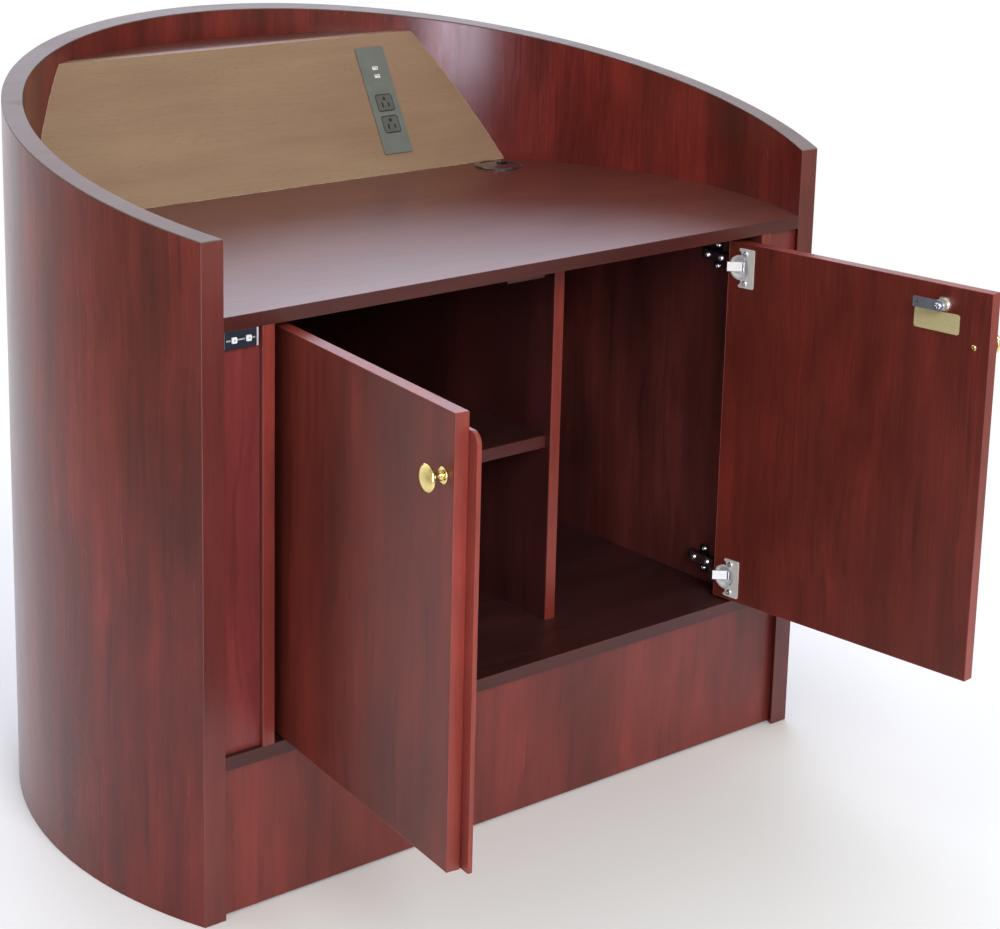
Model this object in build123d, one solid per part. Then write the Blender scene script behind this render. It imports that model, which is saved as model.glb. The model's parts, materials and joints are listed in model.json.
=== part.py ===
from build123d import *
import os
from math import atan2, cos, degrees, hypot, radians, sin

# A curved presentation desk (lectern).  Millimetres, +Z up, +X to the operator's right.
# +Y runs from the open operator's side to the crown of the curved wall.
# The origin is on the floor, midway between the flat ends of the wall's core, behind their edge bands.
# Depths below are measured from the front plane, one band's thickness in front of the origin.

# ---------------------------------------------------------------- boards and bands
BOARD = 19.0            # thickness of every flat board
BAND = 2.0              # thickness of the edge bands on the fixed boards
DOOR_BAND = 1.5         # thickness of the edge band round each door
SCRIBE = 0.2            # gap between a scribed board and the curved wall

# ---------------------------------------------------------------- curved wall
WALL_RADIUS = 610.0     # outside radius
WALL_THICKNESS = 30.0
WALL_CENTRE_Y = 254.0   # the wall's circle is centred this far behind its flat ends
RIM_FRONT_Z = 930.0     # height of the rim at the flat ends
RIM_SLOPE = 0.192       # rise of the rim for each unit of depth

# ---------------------------------------------------------------- heights
DESK_TOP = 829.0
SHELF_TOP = 524.0
FLOOR_TOP = 234.0
KICK_BOTTOM = 3.0

# ---------------------------------------------------------------- cabinet plan
BAY_HALF_WIDTH = 443.5  # centre to the inner face of a side panel
DIVIDER_X = 139.0
DIVIDER_FRONT = 108.0
SHELF_FRONT = 118.0
SHELF_BACK = 598.0
SHELF_PIN_DEPTHS = (160.0, 540.0)
SHELF_PIN_RADIUS = 2.5
SHELF_PIN_REACH = 8.0
FILLER_RECESS = 8.0
KICK_RECESS = 10.0

# ---------------------------------------------------------------- sloped panel and ledge
SLOPE_FOOT_Y = 608.0    # the front face meets the desk here
SLOPE_RISE = 1.88       # rise of the front face for each unit of depth
LEDGE_TOP = 1044.0

# ---------------------------------------------------------------- power strip
STRIP_X = 243.0
STRIP_WIDTH = 58.0
STRIP_LOW = 33.0        # distances up the slope from its foot
STRIP_HIGH = 222.0
STRIP_PROUD = 2.5
OUTLET_CENTRES = (84.0, 122.1)
OUTLET_SIZE = (33.0, 29.0)
PORT_CENTRES = (169.0, 183.3)
PORT_SIZE = (11.0, 6.0)
STRIP_DEPTH = 34.0      # depth of the housing behind the bezel

# ---------------------------------------------------------------- cable grommet
GROMMET_X = 405.0
GROMMET_Y = 560.0
GROMMET_RADIUS = 40.0
SLEEVE_RADIUS = 33.0
SLEEVE_WALL = 2.0
GROMMET_PROUD = 3.5
CAP_RADIUS = 30.7
CORD_HOLE_RADIUS = 10.0
CORD_HOLE_OFFSET = 15.0
CORD_HOLE_BEARING = 25.0

# ---------------------------------------------------------------- doors
DOOR_WIDTH = 439.0
DOOR_BOTTOM = 237.0
DOOR_TOP = 801.0
DOOR_SIDE_GAP = 3.0
HINGE_SETBACK = 22.0    # hinge axis from the door's hinge edge
HINGE_DEPTH = 10.0      # hinge axis behind the door's outer face
OPEN_ANGLE = 97.0       # the doors are drawn standing open at their hinges' stop
HINGE_HEIGHTS = (273.0, 763.0)

# ---------------------------------------------------------------- concealed hinges
CUP_RADIUS = 17.4
CUP_WALL = 1.0
CUP_DEPTH = 13.5
CUP_POCKET_GAP = 0.1
FLANGE = 1.6
FLANGE_HEIGHT = 60.0
PIN_RADIUS = 1.25
EYE_RADIUS = 3.0
EYE_GAP = 0.05
ARM_THICKNESS = 2.4
ARM_HEIGHT = 14.0
ARM_X = 432.0           # the arm's straight tail lies at this distance from the centre line
PLATE_FRONT = 60.0
PLATE_BACK = 112.0

# ---------------------------------------------------------------- knobs, lock and plates
KNOB_FROM_HINGE_EDGE = 415.0
KNOB_Z = 721.0
KNOB_RADIUS = 17.5
KNOB_REACH = 28.0
ROSETTE_RADIUS = 10.75
ROSETTE_THICKNESS = 3.0
KNOB_SCREW_RADIUS = 2.4
LOCK_FROM_HINGE_EDGE = 366.0
LOCK_Z = 774.0
LOCK_RADIUS = 8.5
LOCK_REACH = 15.0       # the barrel stands this far behind the door's inner face
PLUG_RADIUS = 6.0
PLUG_GAP = 0.05
CAM_LENGTH = 39.5
CAM_WIDTH = 15.0
CAM_THICKNESS = 2.5
ASTRAGAL_OVERHANG = 17.0
ASTRAGAL_THICKNESS = 6.0
ASTRAGAL_BOTTOM = 239.0
ASTRAGAL_TOP = 779.0

# ---------------------------------------------------------------- two-button switch
SWITCH_LEFT = -520.8
SWITCH_RIGHT = -471.5
SWITCH_BOTTOM = 786.0
BUTTON_X = (-506.0, -484.0)
BUTTON_Z = 797.7
BUTTON_SIZE = (7.8, 7.8)
BUTTON_PROUD = 2.0
BUTTON_DEPTH = 4.5
BUTTON_TRAVEL = 1.5
BUTTON_GAP = 0.3

# ---------------------------------------------------------------- derived values
WALL_INNER = WALL_RADIUS - WALL_THICKNESS
INSIDE = WALL_INNER - SCRIBE
CROWN_Y = WALL_CENTRE_Y + WALL_RADIUS
DESK_BOTTOM = DESK_TOP - BOARD
FLOOR_BOTTOM = FLOOR_TOP - BOARD
SHELF_BOTTOM = SHELF_TOP - BOARD
SHELF_PIN_Z = SHELF_BOTTOM - SHELF_PIN_RADIUS
DIVIDER_LEFT = DIVIDER_X - BOARD / 2
DIVIDER_RIGHT = DIVIDER_X + BOARD / 2
PANEL_OUTER = BAY_HALF_WIDTH + BOARD
SLOPE_LENGTH = hypot(1.0, SLOPE_RISE)
SLOPE_OUT = Vector(0, -SLOPE_RISE / SLOPE_LENGTH, 1.0 / SLOPE_LENGTH)
SLOPE_TOP_Y = SLOPE_FOOT_Y + (LEDGE_TOP - DESK_TOP) / SLOPE_RISE
SLOPE_RUN = BOARD * SLOPE_LENGTH / SLOPE_RISE    # level thickness of the sloped board
DOOR_EDGE = BAY_HALF_WIDTH - DOOR_SIDE_GAP
HINGE_X = DOOR_EDGE - HINGE_SETBACK
DOOR_FREE = DOOR_EDGE - DOOR_WIDTH
KNOB_X = DOOR_EDGE - KNOB_FROM_HINGE_EDGE
LOCK_X = DOOR_EDGE - LOCK_FROM_HINGE_EDGE
LOCK_BACK = BOARD + LOCK_REACH


# ---------------------------------------------------------------- shape helpers
def block(x0, x1, y0, y1, z0, z1):
    """A box between two corners."""
    centre = Pos((x0 + x1) / 2, (y0 + y1) / 2, (z0 + z1) / 2)
    return centre * Box(x1 - x0, y1 - y0, z1 - z0)


def disc(radius, z0, z1):
    """A solid disc round the wall's vertical centre line."""
    return Pos(0, WALL_CENTRE_Y, (z0 + z1) / 2) * Cylinder(radius, z1 - z0)


def rod_x(radius, x0, x1, y, z):
    """A round rod along X."""
    return Pos((x0 + x1) / 2, y, z) * Rot(0, 90, 0) * Cylinder(radius, x1 - x0)


def rod_y(radius, x, y0, y1, z):
    """A round rod along Y."""
    return Pos(x, (y0 + y1) / 2, z) * Rot(90, 0, 0) * Cylinder(radius, y1 - y0)


def rod_z(radius, x, y, z0, z1):
    """A round rod along Z."""
    return Pos(x, y, (z0 + z1) / 2) * Cylinder(radius, z1 - z0)


def prism_x(points, x0, x1):
    """A prism along X whose outline is given as (y, z) points."""
    outline = Plane.YZ.offset(x0) * Polygon(*points, align=None)
    return extrude(outline, x1 - x0, dir=(1, 0, 0))


def turned_y(profile, x, y, z):
    """A solid turned about Y; the profile is (radius, y) points measured from (x, y, z)."""
    face = make_face(Polyline(*profile, close=True))
    return Pos(x, y, z) * revolve(face, Axis.Y)


def group(shapes):
    """Separate solids kept together as one sub-part."""
    return Compound(children=[solid for shape in shapes for solid in shape.solids()])


def scribed(board):
    """A board trimmed to the inside of the curved wall."""
    return board & disc(INSIDE, 0, LEDGE_TOP + 1)


def mirrored(shape):
    """The same shape on the other side of the centre line."""
    return mirror(shape, about=Plane.YZ)


def opened(shape):
    """A right-hand door part, drawn closed, swung to its open rest position."""
    to_axis = Pos(-HINGE_X, -HINGE_DEPTH, 0)
    return to_axis.inverse() * Rot(0, 0, OPEN_ANGLE) * to_axis * shape


# ---------------------------------------------------------------- curved wall
def rim_z(y):
    """Height of the sloping rim at a depth."""
    return RIM_FRONT_Z + RIM_SLOPE * y


def above_rim(drop):
    """Everything above a plane lying the given drop below the rim."""
    high = CROWN_Y + 50
    lift = drop * hypot(1.0, RIM_SLOPE)
    points = [(-50, rim_z(-50) - lift), (high, rim_z(high) - lift), (high, 1400), (-50, 1400)]
    return prism_x(points, -WALL_RADIUS - 50, WALL_RADIUS + 50)


def wall_ring():
    """The full-height curved wall with its ends cut flat."""
    ring = disc(WALL_RADIUS, 0, rim_z(CROWN_Y) + 5) - disc(WALL_INNER, -5, rim_z(CROWN_Y) + 10)
    return ring - block(-WALL_RADIUS, WALL_RADIUS, -WALL_RADIUS, 0, -5, 1400)


def curved_shell():
    return wall_ring() - above_rim(BAND) - block(-WALL_RADIUS, WALL_RADIUS, -5, BAND, -5, 1400)


def rim_edge_band():
    return (wall_ring() - above_rim(0)) & above_rim(BAND)


def shell_end_bands():
    ends = block(-WALL_RADIUS, WALL_RADIUS, 0, BAND, 0, 1400)
    return group([(wall_ring() - above_rim(BAND)) & ends])


# ---------------------------------------------------------------- desk, slope and ledge
def cam_slot():
    """Slot in the desk's underside that takes the lock's cam once both doors are closed."""
    middle = LOCK_BACK + CAM_THICKNESS / 2
    return block(LOCK_X - 11, LOCK_X + 29, middle - 3, middle + 3, DESK_BOTTOM - 1, DESK_BOTTOM + 8)


def desktop():
    board = scribed(block(-WALL_RADIUS, WALL_RADIUS, BAND, CROWN_Y, DESK_BOTTOM, DESK_TOP))
    hole = rod_z(SLEEVE_RADIUS + SCRIBE, GROMMET_X, GROMMET_Y, DESK_BOTTOM - 5, DESK_TOP + 5)
    return board - hole - cam_slot()


def front_band(z0, z1):
    """Edge band across the whole opening between the wall's ends."""
    return scribed(block(-WALL_RADIUS, WALL_RADIUS, 0, BAND, z0, z1))


def slope_outline():
    """The sloped board's (y, z) section: level foot on the desk, level top beside the ledge."""
    return [
        (SLOPE_FOOT_Y, DESK_TOP),
        (SLOPE_TOP_Y, LEDGE_TOP),
        (SLOPE_TOP_Y + SLOPE_RUN, LEDGE_TOP),
        (SLOPE_FOOT_Y + SLOPE_RUN, DESK_TOP),
    ]


def slope_plane():
    """Plane of the slope's front face: X across, Y up the slope, Z outward."""
    return Plane(origin=(STRIP_X, SLOPE_FOOT_Y, DESK_TOP), x_dir=(1, 0, 0), z_dir=SLOPE_OUT)


def on_slope(shape):
    """Place a shape drawn in the slope's own axes."""
    return slope_plane().location * shape


def slope_panel():
    board = scribed(prism_x(slope_outline(), -WALL_RADIUS, WALL_RADIUS))
    middle = (STRIP_LOW + STRIP_HIGH) / 2
    hole = Pos(0, middle, 0) * Box(STRIP_WIDTH - 7, STRIP_HIGH - STRIP_LOW - 9, 4 * BOARD)
    return board - on_slope(hole)


def rear_ledge():
    front = SLOPE_TOP_Y + SLOPE_RUN
    drop = BOARD / SLOPE_RISE
    section = [
        (front, LEDGE_TOP),
        (CROWN_Y, LEDGE_TOP),
        (CROWN_Y, LEDGE_TOP - BOARD),
        (front - drop, LEDGE_TOP - BOARD),
    ]
    return scribed(prism_x(section, -WALL_RADIUS, WALL_RADIUS))


# ---------------------------------------------------------------- power strip
def outlet_outline(grow):
    """Rounded face of one outlet, grown by a margin."""
    return RectangleRounded(OUTLET_SIZE[0] + 2 * grow, OUTLET_SIZE[1] + 2 * grow, 3.5 + grow)


def power_strip_bezel():
    length = STRIP_HIGH - STRIP_LOW
    middle = (STRIP_LOW + STRIP_HIGH) / 2
    plate = Pos(0, middle, 0) * extrude(RectangleRounded(STRIP_WIDTH, length, 3.0), STRIP_PROUD)
    plate = chamfer(plate.edges().group_by(Axis.Z)[-1], 0.8)
    for centre in OUTLET_CENTRES:
        plate -= Pos(0, centre, -1) * extrude(outlet_outline(0.8), STRIP_PROUD + 2)
    for centre in PORT_CENTRES:
        plate -= Pos(0, centre, STRIP_PROUD / 2) * Box(PORT_SIZE[0] + 0.2, PORT_SIZE[1] + 0.2, 9)
    return on_slope(plate)


def power_strip_housing():
    length = STRIP_HIGH - STRIP_LOW - 12
    middle = (STRIP_LOW + STRIP_HIGH) / 2
    body = Pos(0, middle, -STRIP_DEPTH / 2) * Box(STRIP_WIDTH - 10, length, STRIP_DEPTH)
    for centre in OUTLET_CENTRES:
        body -= Pos(0, centre, -12) * extrude(outlet_outline(0), 13)
    for centre in PORT_CENTRES:
        body -= Pos(0, centre, -6.5) * Box(PORT_SIZE[0], PORT_SIZE[1], 15)
    return on_slope(body)


def outlet_face(centre):
    """One grounded outlet: two blade slots and a round earth hole above them."""
    face = Pos(0, centre, -12) * extrude(outlet_outline(-0.2), 12 + STRIP_PROUD + 0.5)
    face = chamfer(face.edges().group_by(Axis.Z)[-1], 0.6)
    for side, blade in ((-6.35, 8.0), (6.35, 6.6)):
        face -= Pos(side, centre - 4.0, -2) * Box(2.0, blade, 14)
    face -= Pos(0, centre + 7.0, -2) * Cylinder(2.7, 14)
    return on_slope(face)


def usb_port(centre):
    """One charging port: a socket with its contact tongue."""
    shell = Pos(0, centre, -5.5) * Box(PORT_SIZE[0] - 0.2, PORT_SIZE[1] - 0.2, 17)
    shell -= Pos(0, centre, -4.5) * Box(PORT_SIZE[0] - 2.0, PORT_SIZE[1] - 2.0, 17)
    tongue = Pos(0, centre + 0.6, -7.0) * Box(PORT_SIZE[0] - 3.4, 1.8, 13)
    return on_slope(shell + tongue)


# ---------------------------------------------------------------- cable grommet
def grommet_ring():
    top = DESK_TOP + GROMMET_PROUD
    flange = rod_z(GROMMET_RADIUS, GROMMET_X, GROMMET_Y, DESK_TOP, top)
    flange = chamfer(flange.edges().group_by(Axis.Z)[-1], 1.8)
    sleeve = rod_z(SLEEVE_RADIUS, GROMMET_X, GROMMET_Y, DESK_BOTTOM - 2, DESK_TOP)
    ring = flange + sleeve
    ring -= rod_z(SLEEVE_RADIUS - SLEEVE_WALL, GROMMET_X, GROMMET_Y, DESK_TOP, top + 1)
    return ring - rod_z(SLEEVE_RADIUS - 2 * SLEEVE_WALL, GROMMET_X, GROMMET_Y, 0, top)


def cord_hole_centre():
    bearing = radians(CORD_HOLE_BEARING)
    return GROMMET_X + CORD_HOLE_OFFSET * cos(bearing), GROMMET_Y + CORD_HOLE_OFFSET * sin(bearing)


def grommet_cap():
    x, y = cord_hole_centre()
    low = DESK_TOP + 0.1
    cap = rod_z(CAP_RADIUS, GROMMET_X, GROMMET_Y, low, DESK_TOP + 2.6)
    return cap - rod_z(CORD_HOLE_RADIUS, x, y, low - 1, DESK_TOP + 5)


# ---------------------------------------------------------------- cabinet
def shelf_pin_hole(face, y):
    """Blind hole for a shelf pin, as deep on one side of a board's face as it overruns the other."""
    reach = SHELF_PIN_REACH + 1
    return rod_x(SHELF_PIN_RADIUS + 0.1, face - reach, face + reach, y, SHELF_PIN_Z)


def side_panel():
    """The right side panel behind its edge band, with the holes of its hinge plates."""
    board = scribed(block(BAY_HALF_WIDTH, PANEL_OUTER, BAND, CROWN_Y, FLOOR_TOP, DESK_BOTTOM))
    for z in HINGE_HEIGHTS:
        for screw in plate_screw_places(z):
            board -= rod_x(2.1, BAY_HALF_WIDTH - 1, BAY_HALF_WIDTH + 13, *screw)
    return board


def left_side_panel():
    board = mirrored(side_panel())
    for y in SHELF_PIN_DEPTHS:
        board -= shelf_pin_hole(-BAY_HALF_WIDTH, y)
    return board


def side_panel_edge_bands():
    right = block(BAY_HALF_WIDTH, PANEL_OUTER, 0, BAND, FLOOR_TOP, DESK_BOTTOM)
    return group([right, mirrored(right)])


def right_filler_panel():
    low, high = FILLER_RECESS, FILLER_RECESS + BOARD
    return scribed(block(PANEL_OUTER, WALL_RADIUS, low, high, FLOOR_TOP, DESK_BOTTOM))


def centre_divider():
    front = DIVIDER_FRONT + BAND
    board = scribed(block(DIVIDER_LEFT, DIVIDER_RIGHT, front, CROWN_Y, FLOOR_TOP, DESK_BOTTOM))
    for y in SHELF_PIN_DEPTHS:
        board -= shelf_pin_hole(DIVIDER_LEFT, y)
    return board


def divider_edge_band():
    front = DIVIDER_FRONT
    return block(DIVIDER_LEFT, DIVIDER_RIGHT, front, front + BAND, FLOOR_TOP, DESK_BOTTOM)


def shelf_board(y0, y1):
    return block(-BAY_HALF_WIDTH + 0.5, DIVIDER_LEFT - 0.5, y0, y1, SHELF_BOTTOM, SHELF_TOP)


def shelf_pins():
    pins = []
    for y in SHELF_PIN_DEPTHS:
        for face in (-BAY_HALF_WIDTH, DIVIDER_LEFT):
            reach = SHELF_PIN_REACH
            pins.append(rod_x(SHELF_PIN_RADIUS, face - reach, face + reach, y, SHELF_PIN_Z))
    return group(pins)


def floor_panel():
    return scribed(block(-WALL_RADIUS, WALL_RADIUS, BAND, CROWN_Y, FLOOR_BOTTOM, FLOOR_TOP))


def kick_panel():
    low, high = KICK_RECESS, KICK_RECESS + BOARD
    return scribed(block(-WALL_RADIUS, WALL_RADIUS, low, high, KICK_BOTTOM, FLOOR_BOTTOM))


def door_stop_block():
    body = block(-38, 30, BOARD + 1, BOARD + 19, DESK_BOTTOM - 11, DESK_BOTTOM)
    return chamfer(body.edges().filter_by(Axis.X).group_by(Axis.Z)[0], 1.0)


# ---------------------------------------------------------------- hinges on the cabinet
def strip(points, thickness, z0, z1):
    """A flat strip on edge that follows (x, y) points, with rounded corners."""
    shape = None
    for (xa, ya), (xb, yb) in zip(points, points[1:]):
        middle = Pos((xa + xb) / 2, (ya + yb) / 2, (z0 + z1) / 2)
        turn = Rot(0, 0, degrees(atan2(yb - ya, xb - xa)))
        run = middle * turn * Box(hypot(xb - xa, yb - ya), thickness, z1 - z0)
        knuckle = rod_z(thickness / 2, xb, yb, z0, z1)
        shape = run + knuckle if shape is None else shape + run + knuckle
    return shape


def hinge_arm(z):
    """The fixed arm: an eye round the cup's pin, a swan neck round the door's edge, a tail."""
    low, high = z - ARM_HEIGHT / 2, z + ARM_HEIGHT / 2
    neck = [
        (HINGE_X, HINGE_DEPTH),
        (HINGE_X - 18.5, HINGE_DEPTH + 16),
        (HINGE_X - 14.5, HINGE_DEPTH + 28),
        (HINGE_X + 1.5, HINGE_DEPTH + 38),
        (ARM_X, PLATE_FRONT - 2),
        (ARM_X, PLATE_BACK - 6),
    ]
    arm = strip(neck, ARM_THICKNESS, low, high) + rod_z(EYE_RADIUS, HINGE_X, HINGE_DEPTH, low, high)
    arm -= rod_z(PIN_RADIUS + EYE_GAP, HINGE_X, HINGE_DEPTH, low - 1, high + 1)
    arm -= arm_slot(z)
    for y in arm_screw_places():
        arm -= rod_x(2.1, ARM_X - 5, ARM_X + 5, y, z)
    return arm


def arm_slot(z):
    """Upright slot through the swan neck, where its front and back leaves meet."""
    wide, high = 2.0, ARM_HEIGHT - 3.0
    return Pos(HINGE_X - 8.5, HINGE_DEPTH + 31.75, z) * Rot(0, 0, 32) * Box(wide, 9.0, high)


def arm_screw_places():
    return PLATE_FRONT + 10, PLATE_BACK - 14


def plate_screw_places(z):
    """(y, z) of the two wood screws through one mounting plate."""
    return (PLATE_FRONT + 24, z - 16), (PLATE_FRONT + 24, z + 16)


def mounting_plate(z):
    """Cross-shaped plate: a raised spine under the arm and two low wings for the screws."""
    face = ARM_X + ARM_THICKNESS / 2
    spine = block(face, BAY_HALF_WIDTH, PLATE_FRONT, PLATE_BACK, z - 8, z + 8)
    spine = chamfer(spine.edges().filter_by(Axis.Y).group_by(Axis.X)[0], 1.5)
    wing_front, wing_back = PLATE_FRONT + 15, PLATE_FRONT + 33
    wings = block(BAY_HALF_WIDTH - 3, BAY_HALF_WIDTH, wing_front, wing_back, z - 22, z + 22)
    wings = fillet(wings.edges().filter_by(Axis.X), 5.0)
    plate = spine + wings
    for screw in plate_screw_places(z):
        plate -= rod_x(2.1, BAY_HALF_WIDTH - 5, BAY_HALF_WIDTH + 1, *screw)
    for y in arm_screw_places():
        plate -= rod_x(2.1, face - 1, face + 7, y, z)
    return plate


def plate_screw(y, z):
    """Pan-head wood screw through a mounting plate into the side panel."""
    face = BAY_HALF_WIDTH - 3
    head = rod_x(4.0, face - 2.2, face, y, z)
    head = chamfer(head.edges().group_by(Axis.X)[0], 0.8)
    head -= Pos(face - 2.2, y, z) * Box(1.6, 4.6, 0.9)
    head -= Pos(face - 2.2, y, z) * Box(1.6, 0.9, 4.6)
    return head + rod_x(2.0, face, face + 14, y, z)


def arm_screw(y, z):
    """Machine screw that clamps an arm on its plate."""
    face = ARM_X - ARM_THICKNESS / 2
    head = rod_x(4.2, face - 2.4, face, y, z)
    head = chamfer(head.edges().group_by(Axis.X)[0], 0.6)
    head -= Pos(face - 2.4, y, z) * Box(2.0, 1.0, 6.0)
    return head + rod_x(2.0, face, face + 8, y, z)


def both_sides(shapes):
    """Right-hand fittings and their mirror images."""
    shapes = list(shapes)
    return group(shapes + [mirrored(shape) for shape in shapes])


def hinge_plate_screws():
    places = [place for z in HINGE_HEIGHTS for place in plate_screw_places(z)]
    return both_sides(plate_screw(*place) for place in places)


def hinge_arm_screws():
    return both_sides(arm_screw(y, z) for z in HINGE_HEIGHTS for y in arm_screw_places())


# ---------------------------------------------------------------- door parts, drawn closed
def cup_screw_places(z):
    """(x, z) of the two screws of one cup's flange."""
    return (HINGE_X - 9.5, z - 22.5), (HINGE_X - 9.5, z + 22.5)


def door_core():
    """The door board inside its edge band, with its hinge and knob holes."""
    low_x, high_x = DOOR_FREE + DOOR_BAND, DOOR_EDGE - DOOR_BAND
    board = block(low_x, high_x, 0, BOARD, DOOR_BOTTOM + DOOR_BAND, DOOR_TOP - DOOR_BAND)
    for z in HINGE_HEIGHTS:
        pocket = CUP_RADIUS + CUP_POCKET_GAP
        board -= rod_y(pocket, HINGE_X, BOARD - CUP_DEPTH - CUP_POCKET_GAP, BOARD + 1, z)
        for x, screw_z in cup_screw_places(z):
            board -= rod_y(2.1, x, BOARD - 11, BOARD + 1, screw_z)
    return board - rod_y(KNOB_SCREW_RADIUS + 0.2, KNOB_X, -1, BOARD + 1, KNOB_Z)


def right_door_core():
    return door_core() - rod_y(LOCK_RADIUS + 0.1, LOCK_X, -1, BOARD + 1, LOCK_Z)


def door_edge_band():
    outer = block(DOOR_FREE, DOOR_EDGE, 0, BOARD, DOOR_BOTTOM, DOOR_TOP)
    low_x, high_x = DOOR_FREE + DOOR_BAND, DOOR_EDGE - DOOR_BAND
    low_z, high_z = DOOR_BOTTOM + DOOR_BAND, DOOR_TOP - DOOR_BAND
    return outer - block(low_x, high_x, -1, BOARD + 1, low_z, high_z)


def flange_outline(z):
    """Flange of one cup: a disc and a wing whose two ears stand clear of the cup."""
    near, far = HINGE_X + 2, HINGE_X - 25
    wing = Pos((near + far) / 2, z) * RectangleRounded(near - far, FLANGE_HEIGHT, 2.5)
    for side in (-1, 1):
        wing -= Pos(near + 2.0, z + side * 21.0) * Circle(6.0)
    return wing + Pos(HINGE_X, z) * Circle(CUP_RADIUS + 1.6)


def hinge_cup(z):
    """Pressed cup with its flange and the pin that crosses it."""
    back = Plane(origin=(0, BOARD + FLANGE, 0), x_dir=(1, 0, 0), z_dir=(0, -1, 0))
    flange = extrude(back * flange_outline(z), FLANGE)
    cup = rod_y(CUP_RADIUS, HINGE_X, BOARD - CUP_DEPTH, BOARD + FLANGE / 2, z)
    shape = flange + cup
    shape -= rod_y(CUP_RADIUS - CUP_WALL, HINGE_X, BOARD - CUP_DEPTH + CUP_WALL, BOARD + 9, z)
    for x, screw_z in cup_screw_places(z):
        shape -= rod_y(2.1, x, BOARD - 1, BOARD + 9, screw_z)
    reach = CUP_RADIUS - CUP_WALL / 2
    return shape + rod_z(PIN_RADIUS, HINGE_X, HINGE_DEPTH, z - reach, z + reach)


def cup_screw(x, z):
    """Pan-head wood screw through a cup's flange into the door."""
    face = BOARD + FLANGE
    head = rod_y(3.9, x, face, face + 2.0, z)
    head = chamfer(head.edges().group_by(Axis.Y)[-1], 0.8)
    head -= Pos(x, face + 2.0, z) * Box(4.4, 1.6, 0.9)
    head -= Pos(x, face + 2.0, z) * Box(0.9, 1.6, 4.4)
    return head + rod_y(2.0, x, face - 12, face, z)


def cup_screws():
    return group([cup_screw(*place) for z in HINGE_HEIGHTS for place in cup_screw_places(z)])


def knob():
    """Turned knob: a slim neck and a flat domed head."""
    neck, head, reach = 5.0, KNOB_RADIUS, -KNOB_REACH
    outline = [
        (0, -ROSETTE_THICKNESS),
        (6.5, -ROSETTE_THICKNESS),
        (neck + 0.4, -6.5),
        (neck, -10.0),
        (neck + 0.8, -14.0),
        (head * 0.52, -17.2),
        (head * 0.86, -18.8),
        (head * 0.97, -20.2),
        (head, -21.8),
        (head * 0.97, -23.4),
        (head * 0.86, -25.2),
        (head * 0.62, reach + 1.3),
        (head * 0.3, reach + 0.3),
        (0, reach),
    ]
    body = turned_y(outline, KNOB_X, 0, KNOB_Z)
    return body - rod_y(KNOB_SCREW_RADIUS + 0.05, KNOB_X, -13, 0, KNOB_Z)


def knob_rosette():
    thick, radius = -ROSETTE_THICKNESS, ROSETTE_RADIUS
    rim = [(radius, 0), (radius, -1.2), (radius - 1.0, -2.3), (radius - 3.0, thick)]
    outline = [(0, 0), *rim, (0, thick)]
    body = turned_y(outline, KNOB_X, 0, KNOB_Z)
    return body - rod_y(KNOB_SCREW_RADIUS + 0.1, KNOB_X, -5, 1, KNOB_Z)


def knob_screw():
    """Machine screw from the inner face into the knob."""
    head = rod_y(4.2, KNOB_X, BOARD, BOARD + 2.4, KNOB_Z)
    head = chamfer(head.edges().group_by(Axis.Y)[-1], 0.9)
    head -= Pos(KNOB_X, BOARD + 2.4, KNOB_Z) * Box(5.0, 1.8, 1.0)
    head -= Pos(KNOB_X, BOARD + 2.4, KNOB_Z) * Box(1.0, 1.8, 5.0)
    return head + rod_y(KNOB_SCREW_RADIUS, KNOB_X, -12, BOARD, KNOB_Z)


def astragal():
    """Cover strip on a door's inner face that laps behind the other door."""
    low_x, high_x = DOOR_FREE - ASTRAGAL_OVERHANG, DOOR_FREE + 18
    face, back = BOARD, BOARD + ASTRAGAL_THICKNESS
    bar = block(low_x, high_x, face, back, ASTRAGAL_BOTTOM, ASTRAGAL_TOP)
    corner = bar.edges().filter_by(Axis.Y).group_by(Axis.X)[0].sort_by(Axis.Z)[-1]
    return fillet(corner, 15.0)


def lock_housing():
    """Threaded lock barrel with a round face on the outside of the door."""
    barrel = rod_y(LOCK_RADIUS, LOCK_X, 0, LOCK_BACK, LOCK_Z)
    for turn in range(6):
        y = BOARD + 6 + turn * 1.5
        outside = rod_y(LOCK_RADIUS + 1, LOCK_X, y, y + 0.7, LOCK_Z)
        barrel -= outside - rod_y(LOCK_RADIUS - 0.5, LOCK_X, y - 1, y + 2, LOCK_Z)
    face = rod_y(11.0, LOCK_X, -2, 0, LOCK_Z)
    face = chamfer(face.edges().group_by(Axis.Y)[0], 0.8)
    return barrel + face - rod_y(PLUG_RADIUS + PLUG_GAP, LOCK_X, -5, LOCK_BACK + 5, LOCK_Z)


def lock_nut():
    plane = Plane(origin=(LOCK_X, BOARD, LOCK_Z), x_dir=(1, 0, 0), z_dir=(0, 1, 0))
    nut = extrude(plane * RegularPolygon(11.0, 6), 4.0)
    return nut - rod_y(LOCK_RADIUS + 0.05, LOCK_X, BOARD - 1, BOARD + 6, LOCK_Z)


def lock_plug():
    """Turning plug with a key slot in front and a screw hole behind."""
    plug = rod_y(PLUG_RADIUS, LOCK_X, -2.4, LOCK_BACK + 0.2, LOCK_Z)
    plug -= Pos(LOCK_X, -2.4, LOCK_Z) * Box(1.6, 12.0, 7.0)
    return plug - rod_y(2.05, LOCK_X, LOCK_BACK - 9, LOCK_BACK + 2, LOCK_Z)


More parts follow.
